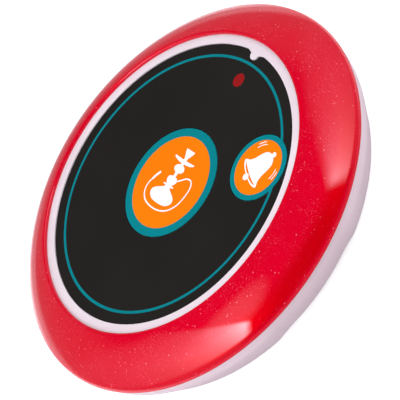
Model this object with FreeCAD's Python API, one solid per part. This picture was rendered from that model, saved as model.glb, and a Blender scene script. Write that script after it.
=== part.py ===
import FreeCAD
import Part
import math
import os

# Waiter call button: a round radio button for a restaurant table.
# Millimetres, +Z up.  The origin is on the table, under the centre of the button.
# +Y points from the large key to the status light, +X to the finger recess on the near side.
# Three groups move: the housing, with all that it carries, turns on the base to come off it,
# and each of the two keys slides down in the housing.

# ---------------------------------------------------------------- driving dimensions

# Plan of the face and the shells, from the middle outwards
large_key_r = 12.0
small_key_r = 7.1
key_spacing = 4.04  # black face left between the two keys
small_key_bearing = 30.67  # degrees from +X to the small key
face_margin = 0.76  # black face left outside the small key
rim_width = 1.7  # white rim left between the face recess and the red ring
ring_width = 10.3
base_inset = 0.6  # the base is this much smaller all round than the ring

# Heights, from the table upwards
foot_proud = 0.5
floor_thickness = 1.8
battery_floor_gap = 1.6
battery_d = 10.3
battery_roof_gap = 0.3
deck_thickness = 1.8
overlay_thickness = 0.5
rim_rise = 0.2  # rim above the printed face
ring_rise = 0.9  # crest of the red ring above the rim
ring_drop = 6.45  # lower edge of the red ring below the printed face
seam = 0.2  # open joint between the ring and the base
root = 0.3  # how far a rib, lug or post sinks into the wall that carries it
past = 1.0  # how far a cut runs past the face that it opens

# Red ring
shoulder_slope = 16.5  # degrees, fall of the ring just outside its crest
lip_round = 0.5  # size of the lip's rounding, made as two flats
lip_foot = 1.5  # width of the foot that stands on the rim
ring_wall = 2.0
edge_round = 1.7  # size of the ring's outer rounding, made as two flats
edge_bevel = 0.5
edge_band = 0.1
ring_gap = 0.15  # between the ring and the housing under it

# Snap hooks under the ring
hook_count = 4
hook_bearing = 45.0
hook_width = 5.0
hook_thickness = 1.4
hook_skirt_gap = 0.2
hook_gap = 0.2
barb_reach = 0.8
barb_height = 1.1
barb_gap = 0.4
hook_flex = 0.8  # room in the skirt for a hook to bend away

# Top housing
shoulder_wall = 1.8
spigot_gap = 0.3
spigot_wall = 1.2
spigot_depth = 1.4
skirt_wall = 1.6
skirt_floor_gap = 0.42
roof_inset = 0.6

# Registration tooth of the rim, in a notch of the overlay
tooth_root = 5.4
tooth_tip = 2.4
tooth_reach = 1.65
overlay_gap = 0.1

# Twist lock between housing and base
lug_count = 3
lug_bearing = 90.0
lug_angle = 8.0
lug_reach = 2.7  # from the wall of the cup to the skirt
lug_bite = 1.1  # how far a lug goes into the skirt
lug_height = 1.8
lug_play = 0.2
lug_side_play = 0.4  # degrees
lug_skirt_gap = 0.3
lock_turn = 15.0
skirt_ledge = 1.3

# Base cup
cup_wall = 1.8
side_band = 2.1  # straight top of the base's side, deeper than the spigot
side_lean = 30.0  # degrees, lean of the side below that
side_round = 4.0  # between the two
under_round = 4.0
recess_bearing = -2.0
recess_angle = 38.5  # width of a finger recess, in degrees
recess_ramp = 5.0  # degrees of it, at each end, over which it sinks in
recess_depth = 0.65
foot_r = 4.0
foot_sink = 0.7
foot_inset = 1.3
foot_count = 4
foot_bearing = 45.0
screw_spacing = 40.0
screw_hole_r = 1.7
countersink_depth = 1.2
pad_width = 1.6
pad_gap = 0.3
pad_angle = 44.0

# Keys
key_gap = 0.15
key_film = 0.3
key_travel = 0.5
key_wall = 1.5
key_top = 1.2
key_flange = 0.9
flange_thickness = 1.0
flange_play = 0.05
key_boss_r = 2.6
key_boss_drop = 0.25
key_rib = 0.8
key_rib_count = 6
collar_gap = 0.3
collar_wall = 1.0
collar_depth = 1.5
guide_width = 1.2
guide_gap = 0.2

# Tact switches
switch_height = 5.0  # board to the top of the plunger
switch_side = 6.0
switch_case = 3.5
switch_floor = 0.8
switch_cover = 0.3
switch_bore_r = 2.2
plunger_r = 1.7
plunger_flange_r = 2.1
plunger_play = 0.1
plunger_nib = 0.35
plunger_nib_r = 0.9
dome_r = 2.0
dome_top_r = 1.0
dome_flat = 0.45  # height of the pressed dome
dome_metal = 0.12
leg_width = 0.7
leg_metal = 0.3
leg_pitch = 4.5
leg_up = 1.0

# Status light
led_d = 3.0
led_length = 5.3
led_flange_r = 1.9
led_flange = 1.0
led_inset = 6.5  # from the edge of the face to the light
led_gap = 0.15
led_roof_gap = 0.1
led_pitch = 2.54
wire_d = 0.5
window_flange = 0.6
window_step = 0.25

# Circuit board
board_thickness = 1.6
board_gap = 1.2
board_edge_gap = 0.35
board_screw_inset = 5.0
board_screw_bearings = (-14.4, 64.5, 115.5, 194.4)
board_hole_r = 1.3
boss_r = 2.6
screw_r = 0.95
screw_gap = 0.03
screw_length = 5.4
screw_head_r = 2.0
screw_head = 1.5
pilot_spare = 0.8
pin_below = 1.0  # pins end this far under the board

# Battery and contacts
battery_l = 28.5
battery_nub_l = 1.2
battery_nub_r = 2.9
battery_rim = 0.4
cradle_wall = 1.2
cradle_gap = 0.2
cradle_key_gap = 0.75
cradle_drop = 7.5
contact_metal = 0.3
contact_bite = 0.6  # depth of the groove that holds a contact plate
contact_height = 8.3
contact_top_gap = 0.9
tail_height = 1.4
tail_reach = 1.8
tail_pin = 0.8
spring_length = 2.95
spring_wire = 0.6
spring_wide_r = 4.0
spring_narrow_r = 2.3
spring_turns = 3.5
spring_end_turns = 0.5  # laid flat at each end
wire_sides = 8
wire_steps = 12  # straight lengths in a turn of wound wire

# Parts on the board
antenna_d = 4.0
antenna_wire = 0.7
antenna_length = 10.4
antenna_turns = 5
antenna_lift = 0.4
antenna_from_end = 21.6  # from the +X end of the board
antenna_from_edge = 4.9  # from the straight edge of the board
chip_from_end = 15.2  # from the -X end of the board
chip_y = 2.0
chip_size = (3.9, 8.65, 1.5)
chip_lift = 0.15
chip_pins = 7
chip_pitch = 1.27
transistor_at = (-9.0, 19.5)
transistor_size = (2.9, 1.3, 1.0)
transistor_pitch = 0.95
lead_width = 0.42
lead_metal = 0.2
lead_reach = 1.05
resonator_from_end = 13.7
resonator_y = 14.5
resonator_can_r = 4.1
resonator_rim_r = 4.6
resonator_rim = 0.5
resonator_height = 3.7
coil_from_end = 10.2
coil_from_edge = 12.3
coil_r = 2.0
coil_core_r = 1.2
coil_cheek = 0.5
coil_height = 2.4
small_part = (2.0, 1.25, 0.6)
small_parts_at = ((-12.0, 5.0), (-12.0, 1.5), (-12.0, -2.0), (-9.0, 12.0), (-5.0, 17.0), (6.0, 20.0))
edge_parts_at = ((19.0, 9.8), (9.0, 5.3))  # small parts placed from the board's straight edge

# ---------------------------------------------------------------- places worked out from them

UP = FreeCAD.Vector(0, 0, 1)
ALONG_X = FreeCAD.Vector(1, 0, 0)
ALONG_Y = FreeCAD.Vector(0, 1, 0)
CENTRE = FreeCAD.Vector(0, 0, 0)

# Plan
key_pitch = large_key_r + key_spacing + small_key_r
small_key_x = key_pitch * math.cos(math.radians(small_key_bearing))
small_key_y = key_pitch * math.sin(math.radians(small_key_bearing))
face_r = key_pitch + small_key_r + face_margin
recess_r = face_r + overlay_gap
lip_r = recess_r + rim_width
ring_r = lip_r + ring_width
lean = math.radians(side_lean)
base_r = ring_r - base_inset
cup_r = base_r - cup_wall
spigot_r = cup_r - spigot_gap
skirt_r = cup_r - lug_reach
skirt_bore_r = skirt_r - skirt_wall
step_r = lip_r + lip_foot
hook_r = skirt_bore_r - hook_skirt_gap
hook_bore_r = hook_r - hook_thickness
board_r = skirt_bore_r - board_gap
board_screw_r = board_r - board_screw_inset
led_r = led_d / 2
led_y = face_r - led_inset
battery_r = battery_d / 2
battery_y = -(large_key_r + key_flange + cradle_key_gap + cradle_wall + cradle_gap + battery_r)
cradle_y = battery_y + battery_r + cradle_gap + cradle_wall
board_edge_y = cradle_y + board_edge_gap
tail_end_y = board_edge_y + tail_reach
antenna_x = board_r - antenna_from_end
antenna_y = board_edge_y + antenna_from_edge
coil_x = board_r - coil_from_end
coil_y = board_edge_y + coil_from_edge
chip_x = chip_from_end - board_r
resonator_x = resonator_from_end - board_r

# Heights
floor_z = foot_proud + floor_thickness
battery_z = floor_z + battery_floor_gap + battery_r
deck_z = battery_z + battery_r + battery_roof_gap
recess_z = deck_z + deck_thickness
face_z = recess_z + overlay_thickness
rim_z = face_z + rim_rise
crest_z = rim_z + ring_rise
ring_edge_z = face_z - ring_drop
cup_top_z = ring_edge_z - seam
lean_z = cup_top_z - side_band
spigot_z = cup_top_z - spigot_depth
cap_top_z = face_z - key_film
flange_top_z = deck_z - flange_play
flange_z = flange_top_z - flange_thickness
plunger_top_z = flange_z - key_boss_drop
board_top_z = plunger_top_z - switch_height
board_z = board_top_z - board_thickness


def round_middle(side_r, bottom_z, turn_r):
    """Middle of the round between a flat bottom and the lean of a side of this radius."""
    z = bottom_z + turn_r
    fall = lean_z - z + turn_r * math.sin(lean)
    return side_r - fall * math.tan(lean) - turn_r * math.cos(lean), z


# Rounds under the base, outside and inside
cup_round = under_round - max(cup_wall, floor_thickness)
cup_round_middle = round_middle(cup_r, floor_z, cup_round)
foot_circle_r = round_middle(base_r, foot_proud, under_round)[0] - foot_r - foot_inset

# Dome: the circle that leaves the rounded lip at the shoulder's slope and runs into the outer rounding
slope = math.radians(shoulder_slope)
lip_centre = (lip_r + lip_round, crest_z - lip_round)
lip_end = (lip_centre[0] + lip_round * math.sin(slope), lip_centre[1] + lip_round * math.cos(slope))
edge_centre = (ring_r - edge_round, ring_edge_z + edge_bevel + edge_band)
edge_run = edge_centre[0] - lip_end[0]
edge_fall = lip_end[1] - edge_centre[1]
edge_sink = edge_fall * math.cos(slope) - edge_run * math.sin(slope) - edge_round
shell_r = (edge_run ** 2 + edge_fall ** 2 - edge_round ** 2) / 2 / edge_sink
shell_centre = (lip_end[0] - shell_r * math.sin(slope), lip_end[1] - shell_r * math.cos(slope))
edge_share = shell_r / (shell_r - edge_round)
dome_edge = (shell_centre[0] + (edge_centre[0] - shell_centre[0]) * edge_share,
             shell_centre[1] + (edge_centre[1] - shell_centre[1]) * edge_share)


def shell_z(depth, r):
    """Height, at radius r, of the surface that runs this deep inside the ring's dome."""
    return shell_centre[1] + math.sqrt((shell_r - depth) ** 2 - (r - shell_centre[0]) ** 2)


def shell_reach(depth, z):
    """Radius, at height z, of the surface that runs this deep inside the ring's dome."""
    return shell_centre[0] + math.sqrt((shell_r - depth) ** 2 - (z - shell_centre[1]) ** 2)


def cup_inside_z(r):
    """Height of the inside of the base cup at radius r, on its floor, round or lean."""
    out = r - cup_round_middle[0]
    if out <= 0:
        return floor_z
    if out <= cup_round * math.cos(lean):
        return cup_round_middle[1] - math.sqrt(cup_round ** 2 - out ** 2)
    return lean_z - (cup_r - r) / math.tan(lean)


housing_depth = ring_wall + ring_gap
cavity_depth = housing_depth + shoulder_wall
skirt_z = cup_inside_z(skirt_r) + skirt_floor_gap
channel_z = skirt_z + skirt_ledge
lug_z = channel_z + lug_play
lug_top_z = lug_z + lug_height
barb_z = shell_z(cavity_depth, hook_bore_r - hook_gap) - barb_gap
hook_z = barb_z - barb_height

# Switch and light levels
switch_case_z = board_top_z + switch_case
switch_body_z = switch_case_z - switch_cover
switch_floor_z = board_top_z + switch_floor
dome_height = dome_flat + key_travel
dome_top_z = switch_floor_z + dome_height
plunger_flange_z = dome_top_z + plunger_nib
plunger_shoulder_z = switch_body_z - plunger_play
led_top_z = recess_z - led_roof_gap
led_z = led_top_z - led_length
battery_x = battery_l / 2
negative_x = -battery_x - spring_length
cradle_z = deck_z - cradle_drop

# Each key: place, radius, and the side of its flange that a rib of the deck guides
keys = {
    "large": (0.0, 0.0, large_key_r, 180.0),
    "small": (small_key_x, small_key_y, small_key_r, 0.0),
}

# ---------------------------------------------------------------- shapes used by several pieces


def at(x, y, z):
    return FreeCAD.Vector(x, y, z)


def cylinder(r, z0, z1, x=0.0, y=0.0):
    return Part.makeCylinder(r, z1 - z0, at(x, y, z0))


def block(x0, x1, y0, y1, z0, z1):
    return Part.makeBox(x1 - x0, y1 - y0, z1 - z0, at(x0, y0, z0))


def along_x(r, x0, x1, y, z):
    return Part.makeCylinder(r, x1 - x0, at(x0, y, z), ALONG_X)


def polar(r, bearing):
    angle = math.radians(bearing)
    return r * math.cos(angle), r * math.sin(angle)


def turned(shape, bearing, x=0.0, y=0.0):
    """Copy of a shape, turned about the vertical through x, y."""
    copy = shape.copy()
    copy.rotate(at(x, y, 0), UP, bearing)
    return copy


def arc(centre, start, end):
    """Outline step from start to end along a circle, the short way round its centre."""
    across = (start[0] + end[0]) / 2 - centre[0]
    up = (start[1] + end[1]) / 2 - centre[1]
    stretch = math.dist(centre, end) / math.hypot(across, up)
    return (centre[0] + across * stretch, centre[1] + up * stretch), end


def outline(place, start, *steps):
    """Closed wire; a step is a corner, or the middle and end of an arc."""
    edges = []
    here = place(*start)
    for step in steps + (start,):
        if isinstance(step[0], tuple):
            there = place(*step[1])
            edges.append(Part.Arc(here, place(*step[0]), there).toShape())
        else:
            there = place(*step)
            edges.append(Part.LineSegment(here, there).toShape())
        here = there
    return Part.Wire(edges)


def revolved(start, *steps, bearing=0.0, turn=360.0):
    """Solid of an (r, z) outline turned about Z, from a bearing, through a turn."""
    wire = outline(lambda r, z: at(r, 0, z), start, *steps)
    return turned(Part.Face(wire).revolve(CENTRE, UP, turn), bearing)


def raised(z0, z1, start, *steps):
    """Solid of an (x, y) outline between two heights."""
    wire = outline(lambda x, y: at(x, y, z0), start, *steps)
    return Part.Face(wire).extrude(UP * (z1 - z0))


def sector(r0, r1, z0, z1, middle, width):
    """Block of a ring between two radii and heights, this many degrees wide."""
    corners = ((r0, z0), (r1, z0), (r1, z1), (r0, z1))
    return revolved(*corners, bearing=middle - width / 2, turn=width)


def spaced(shape, count, bearing=0.0):
    return [turned(shape, bearing + 360 * i / count) for i in range(count)]


def wound(start_r, end_r, length, turns, flat_turns, wire):
    """Wire wound up Z from one radius to another, with part of a turn laid flat at each end."""
    count = round(turns * wire_steps)
    flat = round(flat_turns * wire_steps)
    points = []
    for i in range(count + 1):
        climb = min(max((i - flat) / (count - 2 * flat), 0), 1)
        x, y = polar(start_r + (end_r - start_r) * i / count, 360 * i / wire_steps)
        points.append(at(x, y, length * climb))
    middle = points[0]
    along = (points[1] - middle).normalize()
    out = along.cross(UP).normalize()
    up = out.cross(along)
    corners = []
    for i in range(wire_sides + 1):
        across, rise = polar(wire / 2 / math.cos(math.pi / wire_sides), 360 * (i + 0.5) / wire_sides)
        corners.append(middle + out * across + up * rise)
    return Part.makePolygon(points).makePipeShell([Part.makePolygon(corners)], True, False, 1)


def joined(*shapes):
    """One solid of shapes that touch or overlap, with no seams inside flat faces."""
    return shapes[0].fuse(list(shapes[1:])).removeSplitter()


# ---------------------------------------------------------------- casing


def base_side(side_r, bottom_z, turn_r):
    """Outline of the base's side, upwards: flat bottom, round, lean, round and straight band."""
    centre = round_middle(side_r, bottom_z, turn_r)
    bottom = (centre[0], bottom_z)
    under = (centre[0] + turn_r * math.cos(lean), centre[1] - turn_r * math.sin(lean))
    upper_r = side_round - (base_r - side_r)
    run = upper_r * math.tan(lean / 2)
    low = (side_r - run * math.sin(lean), lean_z - run * math.cos(lean))
    high = (side_r, lean_z + run)
    return [bottom, arc(centre, bottom, under), low, arc((side_r - upper_r, high[1]), low, high),
            (side_r, cup_top_z)]


def base_profile(side_r, bottom_z, turn_r):
    """Full solid as high as the base."""
    return revolved((0, bottom_z), *base_side(side_r, bottom_z, turn_r), (0, cup_top_z))


def base_outside():
    return base_profile(base_r, foot_proud, under_round)


def recess_section(depth, bearing):
    """Closed outline, in the upright plane at this bearing, of what a recess takes off the side."""
    far_r = base_r + past
    x, y = polar(1, bearing)
    return outline(lambda r, z: at(r * x, r * y, z), *base_side(base_r - depth, foot_proud, under_round),
                   (far_r, cup_top_z), (far_r, foot_proud))


def finger_recess():
    """Layer taken off the base's side, which sinks in from nothing at each end."""
    end = recess_bearing + recess_angle / 2
    start = recess_bearing - recess_angle / 2
    level = recess_angle - 2 * recess_ramp
    section = recess_section(recess_depth, start + recess_ramp)
    middle = Part.Face(section).revolve(CENTRE, UP, level)
    ramps = []
    for shallow, deep in ((start, start + recess_ramp), (end, end - recess_ramp)):
        ends = [recess_section(0, shallow), recess_section(recess_depth, deep)]
        ramps.append(Part.makeLoft(ends, True, True))
    return middle.fuse(ramps)


def base_cup():
    inside = base_profile(cup_r, floor_z, cup_round)
    post = sector(skirt_r + lug_skirt_gap, base_r, floor_z - root, lug_top_z, 0, lug_angle)
    nose = sector(skirt_r - lug_bite, base_r, lug_z, lug_top_z, 0, lug_angle)
    lug = post.fuse(nose).common(base_profile(cup_r + root, floor_z - root, cup_round + root))
    pad = sector(-battery_y - pad_width / 2, -battery_y + pad_width / 2, floor_z - root,
                 floor_z + battery_floor_gap - pad_gap, -90, pad_angle)
    cup = joined(base_outside().cut(inside), *spaced(lug, lug_count, lug_bearing), pad)
    recess = finger_recess()
    foot = cylinder(foot_r, foot_proud - past, foot_proud + foot_sink, foot_circle_r)
    cuts = [recess, turned(recess, 180)] + spaced(foot, foot_count, foot_bearing)
    for x in (-screw_spacing / 2, screw_spacing / 2):
        cuts.append(cylinder(screw_hole_r, 0, floor_z + past, x))
        cuts.append(Part.makeCone(screw_hole_r, screw_hole_r + countersink_depth, countersink_depth,
                                  at(x, 0, floor_z - countersink_depth)))
    return cup.cut(cuts)


def rubber_feet():
    foot = cylinder(foot_r, 0, foot_proud + foot_sink, foot_circle_r)
    return Part.makeCompound(spaced(foot, foot_count, foot_bearing))


def tooth(z0, z1, grow):
    """The rim's tooth, seen from above: straight flanks to a round tip."""
    root = tooth_root / 2 + grow
    tip = tooth_tip / 2 + grow
    tip_y = face_r - tooth_reach - grow
    centre = (0, tip_y + tip)
    left = (-tip, centre[1])
    right = (tip, centre[1])
    side_y = recess_r + rim_width / 2
    return raised(z0, z1, (-root, side_y), (-root, face_r), left, ((0, tip_y), right), (root, face_r),
                  (root, side_y))


def cradle():
    """Open trough under the deck that grips the battery and the two contact plates."""
    half = battery_r + cradle_gap + cradle_wall
    left = negative_x - contact_metal
    right = battery_x + contact_metal
    trough = block(left - cradle_wall, right + cradle_wall, battery_y - half, battery_y + half,
                   cradle_z, deck_z + root)
    return trough.cut(along_x(battery_r + cradle_gap, left, right, battery_y, battery_z))


def guide(r, start_r, width, z0, z1):
    """Upright rib, or notch for it, from a radius out into the collar round a key's flange."""
    return block(start_r, r + key_flange + collar_gap + root, -width / 2, width / 2, z0, z1)


def top_housing():
    step = (step_r, shell_z(housing_depth, step_r))
    shoulder = (spigot_r, shell_z(housing_depth, spigot_r))
    body = revolved((0, spigot_z), (spigot_r, spigot_z), shoulder, arc(shell_centre, shoulder, step),
                    (step_r, rim_z), (0, rim_z))

    low_z = spigot_z - past
    low = (shell_reach(cavity_depth, low_z), low_z)
    top = (shell_centre[0], shell_centre[1] + shell_r - cavity_depth)
    dome = revolved((0, low_z), low, arc(shell_centre, low, top), (0, top[1]))
    cavity = dome.common(cylinder(spigot_r - spigot_wall, low_z, deck_z))
    cavity = cavity.fuse(cylinder(face_r - roof_inset, low_z, deck_z))

    skirt_top_z = min(shell_z(cavity_depth, skirt_bore_r) + root, shell_z(housing_depth, skirt_r) - root)
    skirt = cylinder(skirt_r, skirt_z, skirt_top_z).cut(cylinder(skirt_bore_r, skirt_z, skirt_top_z))
    adds = [skirt, cradle()]
    for bearing in board_screw_bearings:
        adds.append(cylinder(boss_r, board_top_z, deck_z + root, *polar(board_screw_r, bearing)))
    for x, y, r, side in keys.values():
        collar_r = r + key_flange + collar_gap
        adds.append(cylinder(collar_r + collar_wall, deck_z - collar_depth, deck_z + root, x, y))
    housing = joined(body.cut(cavity), *adds)

    tooth_body = tooth(recess_z, rim_z, 0)
    cuts = [cylinder(recess_r, recess_z, rim_z + past).cut(tooth_body)]
    for x, y, r, side in keys.values():
        flange_bore = cylinder(r + key_flange + collar_gap, cradle_z, deck_z)
        rib = guide(r, r + key_gap + guide_gap, guide_width, deck_z - collar_depth + guide_gap, deck_z)
        bore = flange_bore.cut(turned(rib, side))
        bore.translate(at(x, y, 0))
        cuts.append(bore)
        cuts.append(cylinder(r + key_gap, deck_z - past, rim_z, x, y))
    cuts.append(cylinder(led_r + led_gap, deck_z - past, rim_z, 0, led_y))
    for bearing in board_screw_bearings:
        x, y = polar(board_screw_r, bearing)
        pilot_z = board_z + screw_length + pilot_spare
        cuts.append(cylinder(screw_r + screw_gap, board_top_z - past, pilot_z, x, y))
    half = hook_width / 2 + hook_gap
    slot = block(hook_bore_r - hook_gap, hook_r + hook_flex, -half, half, hook_z - hook_gap, crest_z)
    cuts += spaced(slot, hook_count, hook_bearing)
    channel_angle = lock_turn + lug_angle + 2 * lug_side_play
    entry_angle = lug_angle + 2 * lug_side_play
    channel = sector(skirt_bore_r - past, skirt_r + past, channel_z, lug_top_z + lug_play,
                     -lock_turn / 2, channel_angle)
    entry = sector(skirt_bore_r - past, skirt_r + past, skirt_z - past, lug_top_z + lug_play,
                   -lock_turn, entry_angle)
    cuts += spaced(channel.fuse(entry), lug_count, lug_bearing)
    for plate in (contact(negative_x - contact_metal), contact(battery_x)):
        cuts.append(plate)
    return housing.cut(cuts)


def accent_ring():
    foot = (step_r, shell_z(ring_wall, step_r))
    toe = (shell_reach(ring_wall, ring_edge_z), ring_edge_z)
    lip = (lip_r, lip_centre[1])
    band = (ring_r, edge_centre[1])
    side = (ring_r, ring_edge_z + edge_bevel)
    under = (ring_r - edge_bevel, ring_edge_z)
    ring = revolved((lip_r, rim_z), lip, *arc(lip_centre, lip, lip_end),
                    arc(shell_centre, lip_end, dome_edge), *arc(edge_centre, dome_edge, band),
                    side, under, toe, arc(shell_centre, toe, foot), (step_r, rim_z))
    half = hook_width / 2
    top_z = shell_z(ring_wall, hook_bore_r) + root
    stem = block(hook_bore_r, hook_r, -half, half, hook_z, top_z)
    wire = outline(lambda r, z: at(r, -half, z), (hook_bore_r, hook_z), (hook_r, hook_z),
                   (hook_r, barb_z), (hook_bore_r - barb_reach, barb_z))
    hook = stem.fuse(Part.Face(wire).extrude(ALONG_Y * hook_width))
    return joined(ring, *spaced(hook, hook_count, hook_bearing))


def face_overlay():
    film = cylinder(face_r, recess_z, face_z)
    cuts = [tooth(recess_z - past, face_z + past, overlay_gap)]
    for x, y, r, side in keys.values():
        cuts.append(cylinder(r + key_gap, recess_z, face_z, x, y))
    cuts.append(cylinder(led_r, recess_z, face_z, 0, led_y))
    cuts.append(cylinder(led_r + window_flange, recess_z, recess_z + window_step, 0, led_y))
    return film.cut(cuts)


def led_window():
    return joined(cylinder(led_r, recess_z, face_z, 0, led_y),
                  cylinder(led_r + window_flange, recess_z, recess_z + window_step, 0, led_y))


# ---------------------------------------------------------------- keys and switches


def keycap(x, y, r, side):
    """Hollow cap with a flange below the deck, and a ribbed boss that stands on the switch."""
    cap = cylinder(r, flange_z, cap_top_z)
    flange = cylinder(r + key_flange, flange_z, flange_top_z)
    inside_r = r - key_wall
    inside_z = cap_top_z - key_top
    shell = joined(cap, flange).cut(cylinder(inside_r, flange_z, inside_z))
    boss = cylinder(min(key_boss_r, inside_r / 2), plunger_top_z, inside_z)
    rib = block(0, inside_r + root, -key_rib / 2, key_rib / 2, flange_top_z, inside_z)
    whole = joined(shell, boss, *spaced(rib, key_rib_count))
    notch = guide(r, r + key_gap, guide_width + 2 * guide_gap, flange_z - past, deck_z)
    whole = whole.cut(turned(notch, side))
    whole.translate(at(x, y, 0))
    return whole


def key_film_disc(x, y, r, side):
    return cylinder(r, cap_top_z, face_z, x, y)


def switch_body(x, y):
    half = switch_side / 2
    body = block(x - half, x + half, y - half, y + half, board_top_z, switch_body_z)
    return body.cut(cylinder(switch_bore_r, switch_floor_z, switch_body_z, x, y))


def switch_cover_plate(x, y):
    half = switch_side / 2
    plate = block(x - half, x + half, y - half, y + half, switch_body_z, switch_case_z)
    return plate.cut(cylinder(plunger_r + plunger_play, switch_body_z, switch_case_z, x, y))


def switch_legs(x, y):
    legs = []
    for side in (-1, 1):
        for end in (-1, 1):
            leg_x = x + side * (switch_side + leg_metal) / 2
            leg_y = y + end * leg_pitch / 2
            legs.append(block(leg_x - leg_metal / 2, leg_x + leg_metal / 2, leg_y - leg_width / 2,
                              leg_y + leg_width / 2, board_z - pin_below, board_top_z + leg_up))
    return Part.makeCompound(legs)


def snap_dome(x, y):
    """Thin stamped disc, bent down to the floor of the switch round its flat middle."""
    dome = revolved((0, dome_top_z), (dome_top_r, dome_top_z), (dome_r, switch_floor_z),
                    (dome_r - dome_metal, switch_floor_z), (dome_top_r, dome_top_z - dome_metal),
                    (0, dome_top_z - dome_metal))
    dome.translate(at(x, y, 0))
    return dome


def switch_plunger(x, y):
    return joined(cylinder(plunger_nib_r, dome_top_z, plunger_flange_z, x, y),
                  cylinder(plunger_flange_r, plunger_flange_z, plunger_shoulder_z, x, y),
                  cylinder(plunger_r, plunger_shoulder_z, plunger_top_z, x, y))


# ---------------------------------------------------------------- status light


def status_led():
    """3 mm lamp: a flange with one flat, a straight barrel and a round top."""
    shoulder_z = led_top_z - led_r
    barrel = cylinder(led_r, led_z, shoulder_z).fuse(Part.makeSphere(led_r, at(0, 0, shoulder_z)))
    flange = cylinder(led_flange_r, led_z, led_z + led_flange)
    flat = block(-led_flange_r, -led_r, -led_flange_r, led_flange_r, led_z, led_z + led_flange)
    lamp = joined(barrel, flange.cut(flat))
    lamp.translate(at(0, led_y, 0))
    return lamp


def led_legs():
    legs = []
    for x in (-led_pitch / 2, led_pitch / 2):
        legs.append(cylinder(wire_d / 2, board_z - pin_below, led_z, x, led_y))
    return Part.makeCompound(legs)


# ---------------------------------------------------------------- circuit board and its screws


def circuit_board():
    """Round board with one straight edge beside the battery; its soldered pins fill their holes."""
    board = cylinder(board_r, board_z, board_top_z)
    cuts = [block(-board_r, board_r, -2 * board_r, board_edge_y, board_z, board_top_z)]
    for bearing in board_screw_bearings:
        x, y = polar(board_screw_r, bearing)
        cuts.append(cylinder(board_hole_r, board_z, board_top_z, x, y))
    for x, y, r, side in keys.values():
        cuts.append(switch_legs(x, y))
    cuts += [led_legs(), antenna_leg(), contact(negative_x - contact_metal), contact(battery_x)]
    return board.cut(cuts)


def board_screws():
    screws = []
    for bearing in board_screw_bearings:
        x, y = polar(board_screw_r, bearing)
        head = cylinder(screw_head_r, board_z - screw_head, board_z, x, y)
        shank = cylinder(screw_r, board_z - screw_head / 2, board_z + screw_length, x, y)
        screws.append(joined(head, shank))
    return Part.makeCompound(screws)


# ---------------------------------------------------------------- battery and contacts


def battery():
    """Steel can with a rolled edge and a raised positive end."""
    start = (0, -battery_x)
    can = [(battery_r - battery_rim, -battery_x), (battery_r, -battery_x + battery_rim),
           (battery_r, battery_x - battery_nub_l - battery_rim),
           (battery_r - battery_rim, battery_x - battery_nub_l),
           (battery_nub_r, battery_x - battery_nub_l), (battery_nub_r, battery_x), (0, battery_x)]
    cell = revolved(start, *can)
    cell.rotate(CENTRE, ALONG_Y, 90)
    cell.translate(at(0, battery_y, battery_z))
    return cell


def contact(x):
    """Sheet-metal plate in the cradle's grooves, with a tail along and a pin through the board."""
    half = battery_r + cradle_gap + contact_bite
    plate_top = deck_z - contact_top_gap
    thick = x + contact_metal
    plate = block(x, thick, battery_y - half, battery_y + half, plate_top - contact_height, plate_top)
    tail = block(x, thick, battery_y, tail_end_y, board_top_z, board_top_z + tail_height)
    pin = block(x, thick, tail_end_y - tail_pin, tail_end_y, board_z - pin_below, board_top_z + tail_height)
    return joined(plate, tail, pin)


def battery_spring():
    """Cone of spring wire, wide on its plate and narrow on the battery."""
    spring = wound(spring_wide_r, spring_narrow_r, spring_length - spring_wire, spring_turns,
                   spring_end_turns, spring_wire)
    spring.rotate(CENTRE, UP, 180)
    spring.rotate(CENTRE, ALONG_Y, 90)
    spring.translate(at(negative_x + spring_wire / 2, battery_y, battery_z))
    return spring


# ---------------------------------------------------------------- parts on the board


def antenna_leg():
    leg_top_z = board_top_z + antenna_lift + antenna_wire / 2
    return cylinder(antenna_wire / 2, board_z - pin_below, leg_top_z, antenna_x, antenna_y)


def antenna():
    """Coil of wire lying on the board, with one end through it."""
    middle_r = (antenna_d - antenna_wire) / 2
    wire = wound(middle_r, middle_r, antenna_length, antenna_turns, 0, antenna_wire)
    wire.rotate(CENTRE, ALONG_Y, 90)
    wire.translate(at(antenna_x, antenna_y, board_top_z + antenna_lift + antenna_d / 2))
    return joined(wire, antenna_leg())


def encoder_chip():
    wide, long, high = chip_size
    z = board_top_z + chip_lift
    return block(chip_x - wide / 2, chip_x + wide / 2, chip_y - long / 2, chip_y + long / 2, z, z + high)


def rf_transistor():
    wide, deep, high = transistor_size
    x, y = transistor_at
    z = board_top_z + chip_lift
    return block(x - wide / 2, x + wide / 2, y - deep / 2, y + deep / 2, z, z + high)


def lead():
    """Bent lead of a chip whose side is at x = 0, pointing to +X, half-way along it."""
    rise = board_top_z + chip_lift + lead_metal
    foot = block(lead_reach / 3, lead_reach, -lead_width / 2, lead_width / 2, board_top_z,
                 board_top_z + lead_metal)
    knee = block(lead_reach / 3, lead_reach / 3 + lead_metal, -lead_width / 2, lead_width / 2,
                 board_top_z, rise + lead_metal)
    root = block(0, lead_reach / 3 + lead_metal, -lead_width / 2, lead_width / 2, rise, rise + lead_metal)
    return joined(foot, knee, root)


def chip_leads():
    leads = []
    for side in (0, 180):
        for i in range(chip_pins):
            one = lead()
            one.translate(at(chip_size[0] / 2, (i - (chip_pins - 1) / 2) * chip_pitch, 0))
            one = turned(one, side)
            one.translate(at(chip_x, chip_y, 0))
            leads.append(one)
    x, y = transistor_at
    for side, offset in ((90, transistor_pitch), (90, -transistor_pitch), (270, 0)):
        one = lead()
        one.translate(at(transistor_size[1] / 2, offset, 0))
        one = turned(one, side)
        one.translate(at(x, y, 0))
        leads.append(one)
    return Part.makeCompound(leads)


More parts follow.
